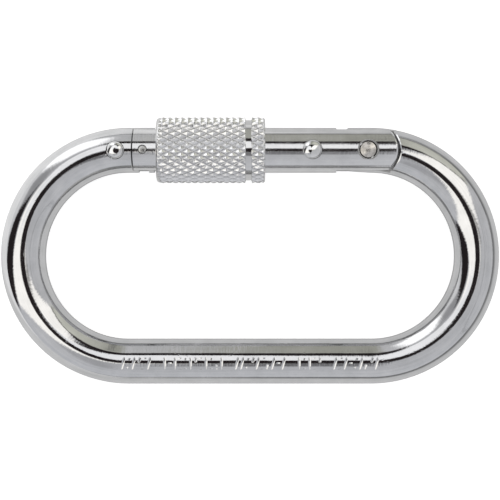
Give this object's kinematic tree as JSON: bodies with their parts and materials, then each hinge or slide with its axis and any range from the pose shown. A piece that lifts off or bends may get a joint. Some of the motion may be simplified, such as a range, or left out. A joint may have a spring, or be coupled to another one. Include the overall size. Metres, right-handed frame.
{
  "type": "oval screw-lock carabiner",
  "caption": "Oval steel carabiner with a sprung gate that swings inward and a knurled screw sleeve that locks it over the nose.",
  "frame": {"origin": "middle of the oval on the bar's mid-plane: halfway along the length and halfway between the gate line and the spine", "axes": "+X along the oval from the nose to the hinge, +Y from the spine to the gate, +Z the oval's normal"},
  "size_m": [0.111, 0.0593, 0.0148],
  "materials": {
    "frame_steel": "bright plated, fine drawn",
    "gate_steel": "bright plated, fine drawn",
    "stud_steel": "polished domes",
    "rivet_steel": "dull, filed flush",
    "pin_steel": "dull",
    "plunger_steel": "turned",
    "spring_wire": "spring wire",
    "ring_wire": "spring wire",
    "sleeve_steel": "matte plated knurl"
  },
  "bodies": {
    "frame": {"frame": "frame_steel", "nose_stop_pin": "stud_steel"},
    "gate": {"gate": "gate_steel", "hinge_rivet": "rivet_steel", "latch_pin": "pin_steel", "gate_stop_stud_front": "stud_steel", "gate_stop_stud_back": "stud_steel", "gate_spring": "spring_wire"},
    "plunger": {"spring_plunger": "plunger_steel"},
    "ring": {"sleeve_retaining_ring": "ring_wire"},
    "sleeve": {"lock_sleeve": "sleeve_steel"}
  },
  "joints": [
    {"name": "gate_swing", "type": "hinge", "parent": "frame", "child": "gate", "pos_m": [0.02615, 0.0235, 0], "axis": [0, 0, 1], "range_deg": [0, 34], "stiffness_Nm_per_rad": 0.2, "springref_deg": -34.38},
    {"name": "plunger_slide", "type": "slide", "parent": "gate", "child": "plunger", "axis": [-1, 0, 0], "range_m": [0, 0.0009], "deforming": ["gate_spring"]},
    {"name": "sleeve_travel", "type": "slide", "parent": "gate", "child": "ring", "axis": [1, 0, 0], "range_m": [-0.00702, 0.00802]},
    {"name": "sleeve_turn", "type": "hinge", "parent": "ring", "child": "sleeve", "pos_m": [-0.0003, 0.0235, 0], "axis": [1, 0, 0], "range_deg": [-1680, 1920]}
  ],
  "couplings": [
    {"joint": "plunger_slide", "follows": "gate_swing", "m_per_rad": 0.0015},
    {"joint": "sleeve_travel", "follows": "sleeve_turn", "m_per_rad": 0.00023873}
  ]
}
